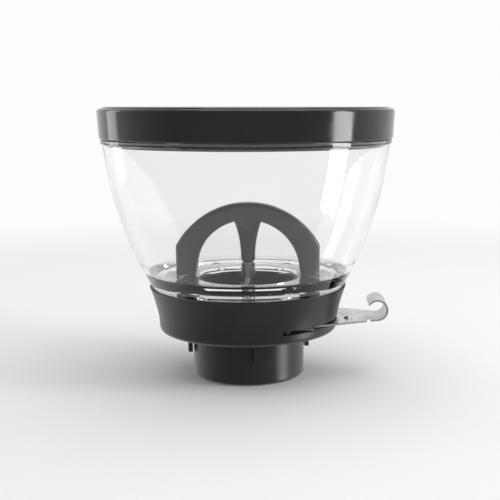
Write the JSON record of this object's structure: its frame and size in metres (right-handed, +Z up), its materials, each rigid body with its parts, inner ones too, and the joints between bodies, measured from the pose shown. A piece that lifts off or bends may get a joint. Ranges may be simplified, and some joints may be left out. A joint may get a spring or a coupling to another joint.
{
  "type": "coffee grinder hopper",
  "caption": "Clear round bean hopper with a black plug-in lid and a finger guard, on a black base with a round neck and a steel shutter that slides out sideways.",
  "frame": {"origin": "centre of the neck's lower rim, on the neck's axis", "axes": "+Z up along the neck's axis, from the neck to the lid; +X towards the side where the shutter comes out"},
  "size_m": [0.1716, 0.1716, 0.1583],
  "materials": {
    "base_plastic": "moulded black plastic, satin",
    "lid_plastic": "moulded black plastic, polished",
    "clear_plastic": "clear polished plastic",
    "guard_plastic": "moulded dark grey plastic, fine texture",
    "shutter_steel": "rolled stainless sheet",
    "screw_steel": "zinc-plated steel"
  },
  "bodies": {
    "hopper": {"base": "base_plastic", "bowl": "clear_plastic", "base_screws": "screw_steel", "finger_guard": "guard_plastic", "guard_screw": "screw_steel", "lid": "lid_plastic"},
    "shutter": {"shutter": "shutter_steel"}
  },
  "joints": [
    {"name": "shutter_slide", "type": "slide", "parent": "hopper", "child": "shutter", "axis": [1, 0, 0], "range_m": [0, 0.066]}
  ]
}
